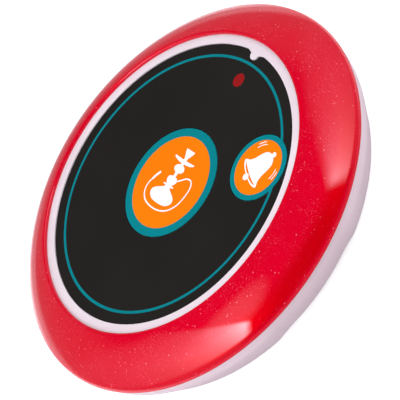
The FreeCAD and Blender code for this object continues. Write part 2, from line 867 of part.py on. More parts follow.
def saw_resonator():
    rim = cylinder(resonator_rim_r, board_top_z, board_top_z + resonator_rim, resonator_x, resonator_y)
    can = cylinder(resonator_can_r, board_top_z, board_top_z + resonator_height, resonator_x, resonator_y)
    return joined(rim, can)


def loading_coil():
    """Small wound drum."""
    z = board_top_z
    top = z + coil_height
    drum = revolved((0, z), (coil_r, z), (coil_r, z + coil_cheek), (coil_core_r, z + coil_cheek),
                    (coil_core_r, top - coil_cheek), (coil_r, top - coil_cheek), (coil_r, top), (0, top))
    drum.translate(at(coil_x, coil_y, 0))
    return drum


def chip_parts():
    wide, deep, high = small_part
    places = list(small_parts_at)
    for x, y in edge_parts_at:
        places.append((x, board_edge_y + y))
    parts = [block(x - wide / 2, x + wide / 2, y - deep / 2, y + deep / 2, board_top_z, board_top_z + high)
             for x, y in places]
    return Part.makeCompound(parts)


# ---------------------------------------------------------------- the whole button

pieces = {
    "base_cup": base_cup(),
    "rubber_feet": rubber_feet(),
    "top_housing": top_housing(),
    "accent_ring": accent_ring(),
    "face_overlay": face_overlay(),
    "led_window": led_window(),
    "status_led": status_led(),
    "led_legs": led_legs(),
    "circuit_board": circuit_board(),
    "board_screws": board_screws(),
    "battery": battery(),
    "battery_spring": battery_spring(),
    "negative_contact": contact(negative_x - contact_metal),
    "positive_contact": contact(battery_x),
    "antenna": antenna(),
    "encoder_chip": encoder_chip(),
    "rf_transistor": rf_transistor(),
    "chip_leads": chip_leads(),
    "saw_resonator": saw_resonator(),
    "loading_coil": loading_coil(),
    "chip_parts": chip_parts(),
}
for name, place in keys.items():
    x, y = place[:2]
    pieces[name + "_keycap"] = keycap(*place)
    pieces[name + "_key_film"] = key_film_disc(*place)
    pieces[name + "_switch_body"] = switch_body(x, y)
    pieces[name + "_switch_cover"] = switch_cover_plate(x, y)
    pieces[name + "_switch_legs"] = switch_legs(x, y)
    pieces[name + "_switch_dome"] = snap_dome(x, y)
    pieces[name + "_switch_plunger"] = switch_plunger(x, y)

os.makedirs("parts", exist_ok=True)
for name, shape in pieces.items():
    shape.exportStep("parts/" + name + ".step")
    print(name, len(shape.Solids), "solid(s)", round(shape.Volume, 2), "mm3", shape.isValid())
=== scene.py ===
# The finished look of a waiter call button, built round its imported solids.
# Metres, +Z up, origin on the table under the centre.  +Y runs from the large key to the status
# light, +X to the finger recess on the near side.
import math

import bmesh
import bpy
from mathutils import Matrix, Vector


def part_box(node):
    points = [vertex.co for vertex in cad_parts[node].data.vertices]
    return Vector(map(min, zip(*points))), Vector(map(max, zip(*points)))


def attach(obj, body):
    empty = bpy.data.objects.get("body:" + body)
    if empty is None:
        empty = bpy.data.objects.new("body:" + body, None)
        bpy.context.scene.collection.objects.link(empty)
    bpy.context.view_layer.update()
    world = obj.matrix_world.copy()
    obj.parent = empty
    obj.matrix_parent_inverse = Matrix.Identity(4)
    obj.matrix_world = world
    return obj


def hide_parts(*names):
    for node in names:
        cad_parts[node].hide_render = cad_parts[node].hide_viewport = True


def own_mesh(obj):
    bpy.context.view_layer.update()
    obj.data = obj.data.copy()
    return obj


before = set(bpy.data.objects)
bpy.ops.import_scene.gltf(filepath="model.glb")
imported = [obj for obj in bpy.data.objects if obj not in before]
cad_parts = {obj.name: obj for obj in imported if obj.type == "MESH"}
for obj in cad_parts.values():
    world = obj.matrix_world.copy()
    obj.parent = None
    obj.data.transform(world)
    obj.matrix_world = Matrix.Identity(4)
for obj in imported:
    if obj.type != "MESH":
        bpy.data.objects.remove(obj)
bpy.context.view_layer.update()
mm = 0.001

# ------------------------------------------------------------ base cup
# The lower shell: one injection moulding in white ABS, with the lugs of the twist lock inside it.
# Its outside has the grain of a spark-eroded mould, and its parting edges are a little rounded.

base_edge = 0.22 * mm
# The same white ABS as the upper shell, painted darker and pinker: painted shade under the red
# ring and painted pink light thrown by it.
pink_shaded_white = (0.765, 0.63, 0.685)
pink_shaded_tone = (0.735, 0.595, 0.65)
abs_roughness = 0.36
abs_grain = 0.35 * mm
abs_depth = 0.06
grain_detail = 3.0
tone_drift = 20 * mm
tone_range = (0.3, 0.7)
tone_detail = 2.0
smear_scale = 90.0
smear_detail = 5.0
smear_swirl = 0.8
gloss_spread = 0.04
weld_distance = 0.001 * mm
flat_angle = math.radians(0.1)
edge_angle = math.radians(32)


def put(tree, kind, inputs=None, **settings):
    """One shader node; an input that is another node's output is linked, any other is set."""
    made = tree.nodes.new("ShaderNode" + kind)
    for name, value in settings.items():
        setattr(made, name, value)
    for name, value in (inputs or {}).items():
        if isinstance(value, bpy.types.NodeSocket):
            tree.links.new(value, made.inputs[name])
        else:
            made.inputs[name].default_value = value
    return made


def maths(tree, operation, *values):
    """Output of a Math node on these values or outputs."""
    return put(tree, "Math", dict(enumerate(values)), operation=operation).outputs[0]


def between(tree, value, low, high, start, end):
    """Output that runs smoothly from start to end as the value runs from low to high."""
    ends = {"Value": value, "From Min": low, "From Max": high, "To Min": start, "To Max": end}
    return put(tree, "MapRange", ends, interpolation_type="SMOOTHSTEP").outputs["Result"]


def blended(tree, share, first, second):
    """Output of a mix of two colours, each a colour or an output."""
    mix = put(tree, "Mix", data_type="RGBA")
    sockets = {socket.identifier: socket for socket in mix.inputs}
    for name, value in (("Factor_Float", share), ("A_Color", first), ("B_Color", second)):
        if isinstance(value, bpy.types.NodeSocket):
            tree.links.new(value, sockets[name])
        else:
            sockets[name].default_value = (*value, 1) if isinstance(value, tuple) else value
    return next(socket for socket in mix.outputs if socket.identifier == "Result_Color")


def effect(name, inputs, outputs):
    """Empty shader node group with these sockets; gives it with its inputs and its outputs."""
    group = bpy.data.node_groups.new(name, "ShaderNodeTree")
    for socket, value in inputs.items():
        made = group.interface.new_socket(socket, in_out="INPUT", socket_type="NodeSocketFloat")
        made.default_value = value
    for socket in outputs:
        group.interface.new_socket(socket, in_out="OUTPUT", socket_type="NodeSocketFloat")
    given = group.nodes.new("NodeGroupInput").outputs
    out = group.nodes.new("NodeGroupOutput").inputs
    return group, given, out


def use(tree, group, **values):
    """Outputs of an effect placed in a material with its own values."""
    made = tree.nodes.new("ShaderNodeGroup")
    made.node_tree = group
    for name, value in values.items():
        made.inputs[name.capitalize()].default_value = value
    return made.outputs


def mould_grain_effect():
    """Fine grain of a mould or a film, with a slow drift of tone over the piece."""
    sizes = {"Grain": abs_grain, "Drift": tone_drift}
    group, given, out = effect("mould grain", sizes, ("Height", "Tone"))
    place = put(group, "TexCoord").outputs["Object"]
    fine = maths(group, "DIVIDE", 1.0, given["Grain"])
    slow = maths(group, "DIVIDE", 1.0, given["Drift"])
    grain = put(group, "TexNoise", {"Vector": place, "Scale": fine, "Detail": grain_detail})
    drift = put(group, "TexNoise", {"Vector": place, "Scale": slow, "Detail": tone_detail})
    group.links.new(grain.outputs[0], out["Height"])
    group.links.new(between(group, drift.outputs[0], *tone_range, 0.0, 1.0), out["Tone"])
    return group


def handling_effect():
    """Faint smears that hands leave: a slightly uneven gloss."""
    usual = {"Roughness": abs_roughness, "Spread": gloss_spread}
    group, given, out = effect("handling", usual, ("Roughness",))
    place = put(group, "TexCoord").outputs["Object"]
    smear = put(group, "TexNoise", {"Vector": place, "Scale": smear_scale, "Detail": smear_detail,
                                    "Distortion": smear_swirl})
    swing = maths(group, "MULTIPLY_ADD", smear.outputs[0], 2.0, -1.0)
    uneven = maths(group, "MULTIPLY", swing, given["Spread"])
    group.links.new(maths(group, "ADD", given["Roughness"], uneven), out["Roughness"])
    return group


mould_grain = mould_grain_effect()
handling = handling_effect()


def new_finish(name, **values):
    """New material; gives it with its node tree and its surface shader."""
    made = bpy.data.materials.new(name)
    made.use_nodes = True
    surface = made.node_tree.nodes["Principled BSDF"]
    for socket, value in values.items():
        socket = surface.inputs[socket.replace("_", " ").title().replace("Ior", "IOR")]
        socket.default_value = (*value, 1) if isinstance(value, tuple) else value
    return made, made.node_tree, surface


def grained(tree, surface, grain, depth, roughness, spread=gloss_spread):
    """Give a surface its fine grain and uneven gloss; the result is its slow drift of tone."""
    texture = use(tree, mould_grain, grain=grain, drift=tone_drift)
    bump = put(tree, "Bump", {"Strength": depth, "Distance": grain, "Height": texture["Height"]})
    tree.links.new(bump.outputs[0], surface.inputs["Normal"])
    gloss = use(tree, handling, roughness=roughness, spread=spread)
    tree.links.new(gloss["Roughness"], surface.inputs["Roughness"])
    return texture["Tone"]


def moulded(name, light, shade, grain=abs_grain, depth=abs_depth, roughness=abs_roughness,
            **values):
    """A plastic, rubber, metal or ink whose tone drifts a little between two colours."""
    made, tree, surface = new_finish(name, **values)
    tone = grained(tree, surface, grain, depth, roughness)
    tree.links.new(blended(tree, tone, light, shade), surface.inputs["Base Color"])
    return made


def settled(piece, body, slot, *finishes):
    """Give a piece its finishes and the body that it moves with; its slot is not used."""
    piece.data.materials.clear()
    for made in finishes:
        piece.data.materials.append(made)
    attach(piece, body)


def meshed(name, mesh):
    """Object of a bmesh, shaded smooth up to its hard edges."""
    data = bpy.data.meshes.new(name)
    mesh.to_mesh(data)
    mesh.free()
    data.shade_smooth()
    data.set_sharp_from_angle(angle=edge_angle)
    piece = bpy.data.objects.new(name, data)
    bpy.context.scene.collection.objects.link(piece)
    return piece


def softened(name, node, edge, steps=2):
    """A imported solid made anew: seams closed, each flat face in one, and its edges rounded."""
    mesh = bmesh.new()
    mesh.from_mesh(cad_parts[node].data)
    bmesh.ops.remove_doubles(mesh, verts=mesh.verts, dist=weld_distance)
    bmesh.ops.dissolve_limit(mesh, angle_limit=flat_angle, verts=mesh.verts, edges=mesh.edges)
    piece = meshed(name, mesh)
    packed_normals = piece.data.attributes.get("custom_normal")
    if packed_normals:
        piece.data.attributes.remove(packed_normals)
    rounding = piece.modifiers.new("rounded edges", "BEVEL")
    rounding.width = edge
    rounding.segments = steps
    rounding.limit_method = "ANGLE"
    rounding.angle_limit = edge_angle
    rounding.harden_normals = True
    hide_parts(node)
    return piece


# Its colour holds painted shade and painted pink light from the red ring.
pink_shaded_abs = moulded("pink shaded abs", pink_shaded_white, pink_shaded_tone, ior=1.5)
settled(softened("lower_shell", "base_cup", base_edge), "base", "white_plastic", pink_shaded_abs)

# ------------------------------------------------------------ rubber feet
# Four round pads of black rubber, glued into shallow pockets of the lower shell.
# They are stamped from sheet, so their faces have a fine matt grain and their edges are soft.

foot_edge = 0.3 * mm
foot_black = (0.022, 0.022, 0.023)
foot_grey = (0.045, 0.044, 0.043)

foot_rubber = moulded("foot rubber", foot_black, foot_grey, grain=0.5 * mm, depth=0.35,
                      roughness=0.78)
foot_pads = softened("foot_pads", "rubber_feet", foot_edge, steps=3)
settled(foot_pads, "base", "rubber_black", foot_rubber)

# ------------------------------------------------------------ top housing
# The upper shell in the same white ABS: face recess, rim with its tooth, dome under the red ring,
# skirt of the twist lock, collars of the keys and cradle of the battery, all one moulding.

housing_edge = 0.1 * mm
abs_white = (0.80, 0.72, 0.755)
abs_shade = (0.76, 0.675, 0.715)

white_abs = moulded("white abs", abs_white, abs_shade, ior=1.5)
upper_shell = softened("upper_shell", "top_housing", housing_edge)
settled(upper_shell, "housing", "white_plastic", white_abs)

# ------------------------------------------------------------ red ring
# The wide glossy collar in transparent red over mica flakes, snapped onto the upper shell by four
# hooks and polished all over.  Its lip stands back by a hair from that of its solid, so that the
# white rim shows at its full width.

rim_width = 1.7 * mm
rim_gap = 0.1 * mm
lip_round = 0.5 * mm
lip_back = 0.33 * mm
lip_foot = 1.5 * mm
dome_slope = math.radians(16.5)
dome_edge_round = 1.7 * mm
ring_wall = 2.0 * mm
ring_seam = 0.2 * mm
ring_edge_round = 0.5 * mm
ring_edge_band = 0.1 * mm
ring_segments = 288
hook_bearings = (45, 135, 225, 315)
hook_width = 5.0 * mm
hook_inner_r = 34.8 * mm
hook_outer_r = 36.2 * mm
barb_reach = 0.8 * mm
barb_height = 1.1 * mm
hook_root = 0.3 * mm
lip_steps = 6
dome_steps = 30
edge_steps = 10
bottom_steps = 5
hollow_steps = 16

ring_red = (0.72, 0.0005, 0.0205)
# Painted shade: a deeper red band above the ring's edge, where the ring is seen square on.
ring_shaded_red = (0.73, 0.0, 0.006)
painted_shade_band = (0.12, 0.27, 0.36, 0.66)  # shares of the height at which it starts, is full and ends
painted_shade_aside = (0.08, 0.32)  # how far aslant it is seen when it starts to fade and is gone
mica_share = (0.15, 0.36)  # outside the band and in it
mica_edge = (0.8, 0.04, 0.08)
mica_roughness = 0.42
skin_roughness = 0.035
# The flakes are real, but their pale pink and their uneven brightness are painted glints.
flake_pink = (1.0, 0.26, 0.34)
large_flakes = {"cell": 0.55 * mm, "share": 0.13, "reach": 0.29}
fine_flakes = {"cell": 0.2 * mm, "share": 0.45, "reach": 0.4}
flake_core = 0.6
large_glint = 0.75
# How much of the flakes the painted shade band hides.
painted_shade_veil = 0.75
cloud_size = 3.5 * mm
cloud_detail = 3.0
cloud_range = (0.38, 0.62)
cloud_glint = (0.08, 0.46)  # of the fine flakes, where they are sparse and where they are dense

face_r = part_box("face_overlay")[1].x
ring_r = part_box("accent_ring")[1].x
crest_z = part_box("accent_ring")[1].z
hook_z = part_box("accent_ring")[0].z
rim_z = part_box("top_housing")[1].z
ring_edge_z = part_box("base_cup")[1].z + ring_seam
lip_r = face_r + rim_gap + rim_width


def swept(centre, radius, start, end, steps):
    """Points along an arc, from one angle to another in degrees."""
    points = []
    for i in range(steps + 1):
        angle = math.radians(start + (end - start) * i / steps)
        points.append((centre[0] + radius * math.cos(angle), centre[1] + radius * math.sin(angle)))
    return points


def facing(centre, point):
    """Angle in degrees at which a point is seen from a centre."""
    return math.degrees(math.atan2(point[1] - centre[1], point[0] - centre[0]))


def ring_outline():
    """Closed outline of the ring, from lip to hollow, and the height of the hooks' roots.

    The dome is an arc through the crown of the solid's lip; the lip set back rolls off that arc.
    """
    crown_r = lip_r + lip_round * (1 + math.sin(dome_slope))
    crown_z = crest_z - lip_round * (1 - math.cos(dome_slope))
    edge_centre = (ring_r - dome_edge_round, ring_edge_z + ring_edge_round + ring_edge_band)
    run = edge_centre[0] - crown_r
    fall = crown_z - edge_centre[1]
    sink = fall * math.cos(dome_slope) - run * math.sin(dome_slope) - dome_edge_round
    radius = (run ** 2 + fall ** 2 - dome_edge_round ** 2) / 2 / sink
    centre = (crown_r - radius * math.sin(dome_slope), crown_z - radius * math.cos(dome_slope))
    shift = lip_r + lip_back + lip_round - centre[0]
    lip_centre = (centre[0] + shift, centre[1] + math.sqrt((radius - lip_round) ** 2 - shift ** 2))
    start, turn = facing(centre, lip_centre), facing(centre, edge_centre)
    lip = swept(lip_centre, lip_round, 180, start, lip_steps)
    dome = swept(centre, radius, start, turn, dome_steps)
    edge = swept(edge_centre, dome_edge_round, turn, 0, edge_steps)
    bottom_centre = (ring_r - ring_edge_round, ring_edge_z + ring_edge_round)
    bottom = swept(bottom_centre, ring_edge_round, 0, -90, bottom_steps)
    inner = radius - ring_wall
    toe_r = centre[0] + math.sqrt(inner ** 2 - (ring_edge_z - centre[1]) ** 2)
    step_r = lip_r + lip_foot
    foot_z = centre[1] + math.sqrt(inner ** 2 - (step_r - centre[0]) ** 2)
    toe_turn, foot_turn = facing(centre, (toe_r, ring_edge_z)), facing(centre, (step_r, foot_z))
    hollow = swept(centre, inner, toe_turn, foot_turn, hollow_steps)
    hook_top_z = centre[1] + math.sqrt(inner ** 2 - (hook_inner_r - centre[0]) ** 2) + hook_root
    outside = [(lip_r + lip_back, rim_z)] + lip + dome[1:] + edge[1:]
    return outside + bottom + hollow + [(step_r, rim_z)], hook_top_z


def lathed(mesh, outline, segments):
    """Turn a closed (r, z) outline about Z into a ring of quads."""
    rows = []
    for i in range(segments):
        angle = 2 * math.pi * i / segments
        x, y = math.cos(angle), math.sin(angle)
        rows.append([mesh.verts.new((r * x, r * y, z)) for r, z in outline])
    for row, following in zip(rows, rows[1:] + rows[:1]):
        for i in range(len(outline)):
            j = (i + 1) % len(outline)
            mesh.faces.new((row[i], following[i], following[j], row[j]))


def hooked(mesh, top_z, bearing):
    """One snap hook: a straight stem with a barb that points to the axis."""
    barb_z = hook_z + barb_height
    side = [(hook_inner_r, top_z), (hook_outer_r, top_z), (hook_outer_r, hook_z),
            (hook_inner_r, hook_z), (hook_inner_r - barb_reach, barb_z), (hook_inner_r, barb_z)]
    turn = Matrix.Rotation(math.radians(bearing), 4, "Z")
    flanks = []
    for y in (-hook_width / 2, hook_width / 2):
        flanks.append([mesh.verts.new(turn @ Vector((r, y, z))) for r, z in side])
    mesh.faces.new(flanks[0][::-1])
    mesh.faces.new(flanks[1])
    for i in range(len(side)):
        j = (i + 1) % len(side)
        mesh.faces.new((flanks[0][i], flanks[0][j], flanks[1][j], flanks[1][i]))


def flake_effect():
    """Mica flakes: small round specks, a share of the cells that they are scattered over.

    Each flake's glint is painted, with a brightness of its own.
    """
    usual = {name.capitalize(): value for name, value in large_flakes.items()}
    group, given, out = effect("mica flakes", usual, ("Glint",))
    place = put(group, "TexCoord").outputs["Object"]
    count = maths(group, "DIVIDE", 1.0, given["Cell"])
    cells = put(group, "TexVoronoi", {"Vector": place, "Scale": count})
    pick = put(group, "SeparateColor", {0: cells.outputs["Color"]}).outputs
    chosen = maths(group, "LESS_THAN", pick[0], given["Share"])
    core = maths(group, "MULTIPLY", given["Reach"], flake_core)
    speck = between(group, cells.outputs["Distance"], core, given["Reach"], 1.0, 0.0)
    flake = maths(group, "MULTIPLY", chosen, speck)
    group.links.new(maths(group, "MULTIPLY", flake, pick[1]), out["Glint"])
    return group


def flaked_red():
    """Transparent red over two sizes of flake.

    Painted shade makes a band above the edge deeper red, where it is seen square on.
    """
    made, tree, surface = new_finish(
        "flaked red", roughness=mica_roughness, specular_tint=mica_edge, specular_ior_level=0.0,
        coat_weight=1.0, coat_roughness=skin_roughness)
    place = put(tree, "TexCoord").outputs["Object"]
    height = put(tree, "SeparateXYZ", {0: place}).outputs[2]
    # Painted shade: the band turns deeper red, with more metal sheen and fewer flakes, and fades
    # where the ring is seen aslant.
    levels = [ring_edge_z + share * (crest_z - ring_edge_z) for share in painted_shade_band]
    depth = maths(tree, "MULTIPLY", between(tree, height, *levels[:2], 0.0, 1.0),
                  between(tree, height, *levels[2:], 1.0, 0.0))
    aside = put(tree, "LayerWeight").outputs["Facing"]
    depth = maths(tree, "MULTIPLY", depth, between(tree, aside, *painted_shade_aside, 1.0, 0.0))
    red = blended(tree, depth, ring_red, ring_shaded_red)
    sheen = between(tree, depth, 0.0, 1.0, *mica_share)
    tree.links.new(sheen, surface.inputs["Metallic"])
    spread = {"Vector": place, "Scale": 1 / cloud_size, "Detail": cloud_detail}
    clouds = between(tree, put(tree, "TexNoise", spread).outputs[0], *cloud_range, *cloud_glint)
    faint = maths(tree, "MULTIPLY", use(tree, flakes, **fine_flakes)["Glint"], clouds)
    bright = maths(tree, "MULTIPLY", use(tree, flakes, **large_flakes)["Glint"], large_glint)
    shown = maths(tree, "MULTIPLY_ADD", depth, -painted_shade_veil, 1.0)
    glitter = maths(tree, "MULTIPLY", maths(tree, "MAXIMUM", faint, bright), shown)
    tree.links.new(blended(tree, glitter, red, flake_pink), surface.inputs["Base Color"])
    return made


flakes = flake_effect()
ring_mesh = bmesh.new()
ring_line, hook_top_z = ring_outline()
lathed(ring_mesh, ring_line, ring_segments)
for hook_bearing in hook_bearings:
    hooked(ring_mesh, hook_top_z, hook_bearing)
bmesh.ops.recalc_face_normals(ring_mesh, faces=ring_mesh.faces)
red_ring = meshed("red_collar", ring_mesh)
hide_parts("accent_ring")
settled(red_ring, "housing", "red_plastic", flaked_red())

# ------------------------------------------------------------ face overlay
# A printed film of matt polycarbonate, stuck in the recess of the upper shell, in charcoal ink
# with one fine teal line round it.  The film stops short of the keys, the light and the tooth.

film_edge = 0.03 * mm
ink_thickness = 0.015 * mm
line_r = 28.4 * mm
line_width = 0.6 * mm
circle_steps = 192
film_grain = 0.12 * mm
film_depth = 0.05
film_roughness = 0.42
charcoal = (0.0152, 0.0138, 0.0122)
charcoal_shade = (0.0170, 0.0156, 0.0140)
teal = (0.0, 0.215, 0.245)
teal_shade = (0.0, 0.198, 0.225)

film_top_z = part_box("face_overlay")[1].z
key_low, key_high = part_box("small_key_film")
small_key = (key_low + key_high) / 2
small_key_r = (key_high.x - key_low.x) / 2


def film_ink(name, light, shade):
    """Ink under the matt grain of its film."""
    return moulded(name, light, shade, grain=film_grain, depth=film_depth,
                   roughness=film_roughness, ior=1.45, specular_ior_level=0.04)


def circle(x, y, r):
    """Closed outline of a circle."""
    turns = [2 * math.pi * i / circle_steps for i in range(circle_steps)]
    return [Vector((x + r * math.cos(turn), y + r * math.sin(turn))) for turn in turns]


def printed(name, outlines, layer):
    """A flat layer of ink from closed outlines; an outline inside another one is a gap in it."""
    curve = bpy.data.curves.new(name, "CURVE")
    curve.dimensions = "2D"
    curve.fill_mode = "BOTH"
    curve.extrude = ink_thickness / 2
    for outline in outlines:
        spline = curve.splines.new("POLY")
        spline.points.add(len(outline) - 1)
        for point, place in zip(spline.points, outline):
            point.co = (place[0], place[1], 0, 1)
        spline.use_cyclic_u = True
    drawn = bpy.data.objects.new(name, curve)
    data = bpy.data.meshes.new_from_object(drawn)
    bpy.data.objects.remove(drawn)
    data.transform(Matrix.Translation((0, 0, film_top_z + (layer - 0.5) * ink_thickness)))
    piece = bpy.data.objects.new(name, data)
    bpy.context.scene.collection.objects.link(piece)
    return piece


def teal_line():
    """Outline of the teal line, which breaks off at the small key."""
    bearing = math.atan2(small_key.y, small_key.x)
    pitch = math.hypot(small_key.x, small_key.y)
    outline = []
    for r, order in ((line_r - line_width / 2, 1), (line_r + line_width / 2, -1)):
        stop = math.acos((r ** 2 + pitch ** 2 - small_key_r ** 2) / (2 * r * pitch))
        sweep = 2 * (math.pi - stop) / circle_steps
        turns = [bearing + stop + sweep * i for i in range(circle_steps + 1)]
        outline += [Vector((r * math.cos(turn), r * math.sin(turn))) for turn in turns[::order]]
    return outline


charcoal_film = film_ink("charcoal film", charcoal, charcoal_shade)
teal_ink = film_ink("teal ink", teal, teal_shade)
settled(softened("face_film", "face_overlay", film_edge), "housing", "printed_film", charcoal_film)
settled(printed("face_line", [teal_line()], 1), "housing", "printed_film", teal_ink)

# ------------------------------------------------------------ light window
# A small lens of dark red acrylic, stepped at its back, pressed into the film above the status
# light.  It is smooth from its mould.

lens_edge = 0.05 * mm
lens_red = (0.345, 0.002, 0.003)
lens_dark_red = (0.29, 0.002, 0.003)

red_lens = moulded("red lens", lens_red, lens_dark_red, grain=0.2 * mm, depth=0.02, roughness=0.22)
settled(softened("light_lens", "led_window", lens_edge), "housing", "red_window", red_lens)

# ------------------------------------------------------------ keycaps
# Two hollow caps in white ABS, each with a flange that holds it under the deck and a ribbed boss
# that stands on its switch.

cap_edge = 0.12 * mm

for key in ("large", "small"):
    cap = softened(key + "_cap", key + "_keycap", cap_edge)
    settled(cap, key + "_key", "white_plastic", white_abs)

# ------------------------------------------------------------ key faces
# A disc of the same matt film, stuck on each cap: teal border, orange ground and a plain white
# sign, screen-printed in three passes.  The large key has a water pipe, the small one a hand bell.

key_film_edge = 0.04 * mm
large_ground_r = 10.15 * mm
small_ground_r = 5.95 * mm
line_steps = 8
round_end = (60, 30, 0, -30, -60)
hose_width = 0.3 * mm
mouthpiece_width = 0.55 * mm
bell_tilt = math.radians(-28)
clapper_r = 0.75 * mm
clapper_drop = 3.2 * mm
ringing_width = 0.16 * mm
ringing_arcs = ((4.5 * mm, 15), (5.1 * mm, 10))
ringing_bearings = (24, 156)
ringing_rise = 0.7 * mm
ringing_steps = 4
orange = (0.93, 0.200, 0.0)
orange_shade = (0.89, 0.186, 0.0)
sign_white = (0.93, 0.92, 0.93)
sign_shade = (0.90, 0.89, 0.90)


def flowing(*points):
    """Smooth line through points given in millimetres, as short steps."""
    knots = [Vector(point) * mm for point in points]
    knots = [2 * knots[0] - knots[1]] + knots + [2 * knots[-1] - knots[-2]]
    line = []
    for before, start, end, after in zip(knots, knots[1:], knots[2:], knots[3:]):
        for i in range(line_steps):
            t = i / line_steps
            pull = (end - before) * t + (2 * before - 5 * start + 4 * end - after) * t ** 2
            line.append(start + (pull + (3 * start - before - 3 * end + after) * t ** 3) / 2)
    return line + [knots[-2]]


def straight(*points):
    """Corners of a line through points given in millimetres."""
    return [Vector(point) * mm for point in points]


def mirrored(half):
    """Closed outline from its right half, drawn from top to bottom."""
    return half + [Vector((-point.x, point.y)) for point in half[::-1]]


def stroke(line, width):
    """Closed outline of a line of ink with round ends."""
    sides = ([], [])
    for i, point in enumerate(line):
        along = (line[min(i + 1, len(line) - 1)] - line[max(i - 1, 0)]).normalized()
        across = Vector((-along.y, along.x)) * width / 2
        sides[0].append(point + across)
        sides[1].append(point - across)
    caps = []
    for end, inner in ((line[-1], line[-2]), (line[0], line[1])):
        out = (end - inner).normalized() * width / 2
        spins = [Matrix.Rotation(math.radians(turn), 2) for turn in round_end]
        caps.append([end + spin @ out for spin in spins])
    return sides[0] + caps[0] + sides[1][::-1] + caps[1]


def placed(outline, centre, turn):
    """Outline turned about its own origin and moved to the middle of a key."""
    spin = Matrix.Rotation(turn, 2)
    return [spin @ point + centre.xy for point in outline]


def water_pipe():
    """Water pipe in parts, each with outlines and a layer: bowl to vase, hose, mouthpiece."""
    half = straight((0, 7.5), (1.45, 7.5))
    half += flowing((1.45, 7.5), (1.2, 6.8), (0.75, 6.1), (0.5, 5.6), (0.45, 5.2))
    half += flowing((0.45, 5.2), (3.45, 5.25))
    half += flowing((3.45, 5.25), (3.3, 4.95), (2.3, 4.6), (1.1, 4.42), (0.45, 4.4))
    half += flowing((0.45, 4.4), (0.5, 4.1), (1.25, 3.75), (1.65, 3.15), (1.25, 2.55), (0.5, 2.25),
                    (0.42, 1.9))
    half += flowing((0.42, 1.9), (0.42, 1.3))
    half += flowing((0.42, 1.3), (1.2, 1.15), (1.6, 0.55), (1.35, -0.1), (0.85, -0.55))
    half += straight((0.85, -0.6), (1.7, -0.65), (1.7, -0.95), (0.85, -1.0))
    half += flowing((0.85, -1.0), (1.1, -1.4), (2.0, -1.85), (3.3, -2.5), (3.85, -3.3),
                    (3.5, -4.1), (2.4, -4.75), (1.2, -4.95), (0, -5.0))
    hose = flowing((1.3, 0.55), (2.4, 1.35), (3.8, 2.3), (5.2, 2.3), (6.1, 1.2), (6.2, -0.8),
                   (5.6, -3.2), (4.0, -5.1), (1.6, -6.1), (-1.4, -6.25), (-3.9, -5.65),
                   (-5.4, -4.3), (-5.8, -2.6), (-5.3, -1.1))
    mouthpiece = flowing((-5.38, -1.3), (-5.0, -0.35), (-4.5, 0.5))
    return {"sign": ([mirrored(half)], 3), "hose": ([stroke(hose, hose_width)], 2),
            "mouthpiece": ([stroke(mouthpiece, mouthpiece_width)], 3)}


def hand_bell():
    """Hand bell in parts: knob to open mouth, clapper, and short strokes for the ringing."""
    half = flowing((0, 4.75), (0.42, 4.6), (0.58, 4.2), (0.42, 3.8))
    half += flowing((0.42, 3.8), (1.15, 3.55), (1.9, 2.8), (2.3, 1.5), (2.5, 0.1), (3.0, -1.0),
                    (3.85, -1.75))
    half += flowing((3.85, -1.75), (3.95, -2.05), (3.5, -2.45), (2.2, -2.85), (0, -3.05))
    mouth = flowing((-3.3, -2.0), (-1.7, -2.2), (0, -2.27), (1.7, -2.2), (3.3, -2.0))
    mouth += flowing((3.3, -2.1), (2.0, -2.58), (0, -2.78), (-2.0, -2.58), (-3.3, -2.1))
    clapper = circle(0, -clapper_drop, clapper_r)
    strokes = []
    for r, reach in ringing_arcs:
        for bearing in ringing_bearings:
            arc = swept((0, ringing_rise), r, bearing - reach, bearing + reach, 2 * ringing_steps)
            strokes.append(stroke([Vector(point) for point in arc], ringing_width))
    return {"sign": ([mirrored(half), mouth], 2), "clapper": ([clapper], 3),
            "ringing": (strokes, 2)}


orange_ink = film_ink("orange ink", orange, orange_shade)
white_ink = film_ink("white ink", sign_white, sign_shade)
large_low, large_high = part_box("large_key_film")
large_key = (large_low + large_high) / 2

key_faces = {"large": (large_key, large_ground_r, water_pipe(), 0.0),
             "small": (small_key, small_ground_r, hand_bell(), bell_tilt)}
for key, (middle, ground_r, sign, turn) in key_faces.items():
    disc = softened(key + "_key_disc", key + "_key_film", key_film_edge)
    settled(disc, key + "_key", "orange_film", teal_ink)
    ground = printed(key + "_key_ground", [circle(middle.x, middle.y, ground_r)], 1)
    settled(ground, key + "_key", "orange_film", orange_ink)
    for part, (outlines, layer) in sign.items():
        drawing = [placed(outline, middle, turn) for outline in outlines]
        ink = printed(key + "_key_" + part, drawing, layer)
        settled(ink, key + "_key", "orange_film", white_ink)

# ------------------------------------------------------------ switches
# Two tact switches, soldered through the board under the keys: a nylon case and plunger, a pressed
# steel cover, four tinned legs, and a snap dome of spring steel, which the key presses flat; here
# it keeps its resting shape.

case_edge = 0.12 * mm
sheet_edge = 0.04 * mm
snap_edge = 0.02 * mm
nylon_black = (0.018, 0.018, 0.019)
nylon_grey = (0.028, 0.028, 0.029)
nickel = (0.70, 0.68, 0.64)
nickel_shade = (0.60, 0.585, 0.55)
tin = (0.74, 0.74, 0.73)
tin_shade = (0.60, 0.60, 0.60)
dome_steel = (0.62, 0.60, 0.57)
dome_shade = (0.54, 0.525, 0.50)

black_nylon = moulded("black nylon", nylon_black, nylon_grey, grain=0.15 * mm, depth=0.12,
                      roughness=0.5)
nickel_plate = moulded("nickel plate", nickel, nickel_shade, grain=0.08 * mm, depth=0.05,
                       roughness=0.3, metallic=1.0)
tinned_wire = moulded("tinned wire", tin, tin_shade, grain=0.12 * mm, depth=0.15,
                      roughness=0.32, metallic=1.0)
bright_spring = moulded("bright spring steel", dome_steel, dome_shade, grain=0.1 * mm, depth=0.04,
                        roughness=0.22, metallic=1.0)

